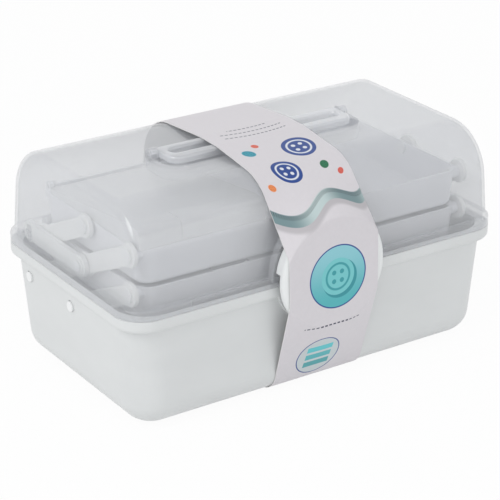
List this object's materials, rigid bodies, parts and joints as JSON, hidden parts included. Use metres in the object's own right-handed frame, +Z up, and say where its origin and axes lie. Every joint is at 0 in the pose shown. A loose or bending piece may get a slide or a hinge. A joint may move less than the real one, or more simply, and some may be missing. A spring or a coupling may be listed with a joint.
{
  "type": "cantilever sewing box",
  "caption": "Lidded plastic sewing box with swing-out trays, dividers, flip cover, fold-down handle, turn-knob latch and card sleeve.",
  "frame": {"origin": "middle of the footprint, on the surface that the four feet stand on", "axes": "+X along the box to the right as seen from the latch side, +Y to the hinge side, +Z up"},
  "size_m": [0.27, 0.1779, 0.1432],
  "materials": {
    "tub_plastic": "satin off-white",
    "lid_plastic": "frosted, lets light through",
    "clear_plastic": "clear",
    "white_plastic": "white, satin",
    "tray_plastic": "satin white",
    "divider_plastic": "translucent",
    "pin_plastic": "satin",
    "steel": "zinc plated",
    "card": "matt print"
  },
  "bodies": {
    "base": {"base_tub": "tub_plastic", "base_pivot_pins": "pin_plastic", "lid_hinge_pin_left": "steel", "lid_hinge_pin_right": "steel", "card_sleeve": "card"},
    "lid": {"lid_shell": "lid_plastic", "latch_screw": "steel", "latch_washer": "steel"},
    "handle": {"carry_handle": "clear_plastic"},
    "knob": {"latch_dial": "white_plastic", "latch_cap": "white_plastic"},
    "long_arms": {"long_arm_left": "tray_plastic", "long_arm_right": "tray_plastic"},
    "front_arms": {"front_arm_left": "tray_plastic", "front_arm_right": "tray_plastic"},
    "rear_arms": {"rear_arm_left": "tray_plastic", "rear_arm_right": "tray_plastic"},
    "lid_links": {"lid_link_left": "tray_plastic", "lid_link_right": "tray_plastic"},
    "lower_tray": {"lower_tray": "tray_plastic", "lower_divider_left": "divider_plastic", "lower_divider_right": "divider_plastic", "lower_tray_pins": "pin_plastic"},
    "upper_tray": {"upper_tray": "tray_plastic", "upper_divider": "divider_plastic", "upper_tray_pins": "pin_plastic"},
    "cover": {"compartment_cover": "lid_plastic"}
  },
  "joints": [
    {"name": "lid_hinge", "type": "hinge", "parent": "base", "child": "lid", "pos_m": [0, 0.0844, 0.0735], "axis": [-1, 0, 0], "range_deg": [0, 110], "deforming": ["card_sleeve"]},
    {"name": "handle_fold", "type": "hinge", "parent": "lid", "child": "handle", "pos_m": [0, 0.0034, 0.1394], "axis": [-1, 0, 0], "range_deg": [0, 90]},
    {"name": "knob_turn", "type": "hinge", "parent": "lid", "child": "knob", "pos_m": [0, -0.084, 0.0798], "axis": [0, 1, 0], "range_deg": [0, 90]},
    {"name": "long_arm_swing", "type": "hinge", "parent": "base", "child": "long_arms", "pos_m": [0, 0.048, 0.058], "axis": [-1, 0, 0], "range_deg": [0, 55]},
    {"name": "front_arm_swing", "type": "hinge", "parent": "base", "child": "front_arms", "pos_m": [0, -0.003, 0.058], "axis": [-1, 0, 0], "range_deg": [0, 55]},
    {"name": "lower_tray_level", "type": "hinge", "parent": "long_arms", "child": "lower_tray", "pos_m": [0, -0.003, 0.0825], "axis": [-1, 0, 0], "range_deg": [-55, 0]},
    {"name": "rear_arm_swing", "type": "hinge", "parent": "lower_tray", "child": "rear_arms", "pos_m": [0, 0.048, 0.0825], "axis": [-1, 0, 0], "range_deg": [0, 55]},
    {"name": "lid_link_swing", "type": "hinge", "parent": "lower_tray", "child": "lid_links", "pos_m": [0, -0.003, 0.0825], "axis": [-1, 0, 0], "range_deg": [0, 16]},
    {"name": "upper_tray_level", "type": "hinge", "parent": "long_arms", "child": "upper_tray", "pos_m": [0, -0.054, 0.107], "axis": [-1, 0, 0], "range_deg": [-55, 0]},
    {"name": "cover_flip", "type": "hinge", "parent": "upper_tray", "child": "cover", "pos_m": [0, 0.048, 0.1143], "axis": [-1, 0, 0], "range_deg": [0, 27.5]}
  ],
  "couplings": [
    {"joint": "long_arm_swing", "follows": "lid_hinge", "ratio": 0.5},
    {"joint": "front_arm_swing", "follows": "lid_hinge", "ratio": 0.5},
    {"joint": "lower_tray_level", "follows": "lid_hinge", "ratio": -0.5},
    {"joint": "rear_arm_swing", "follows": "lid_hinge", "ratio": 0.5},
    {"joint": "upper_tray_level", "follows": "lid_hinge", "ratio": -0.5},
    {"joint": "lid_link_swing", "follows": "lid_hinge", "ratio": 0.145},
    {"joint": "cover_flip", "follows": "lid_hinge", "ratio": 0.25}
  ]
}
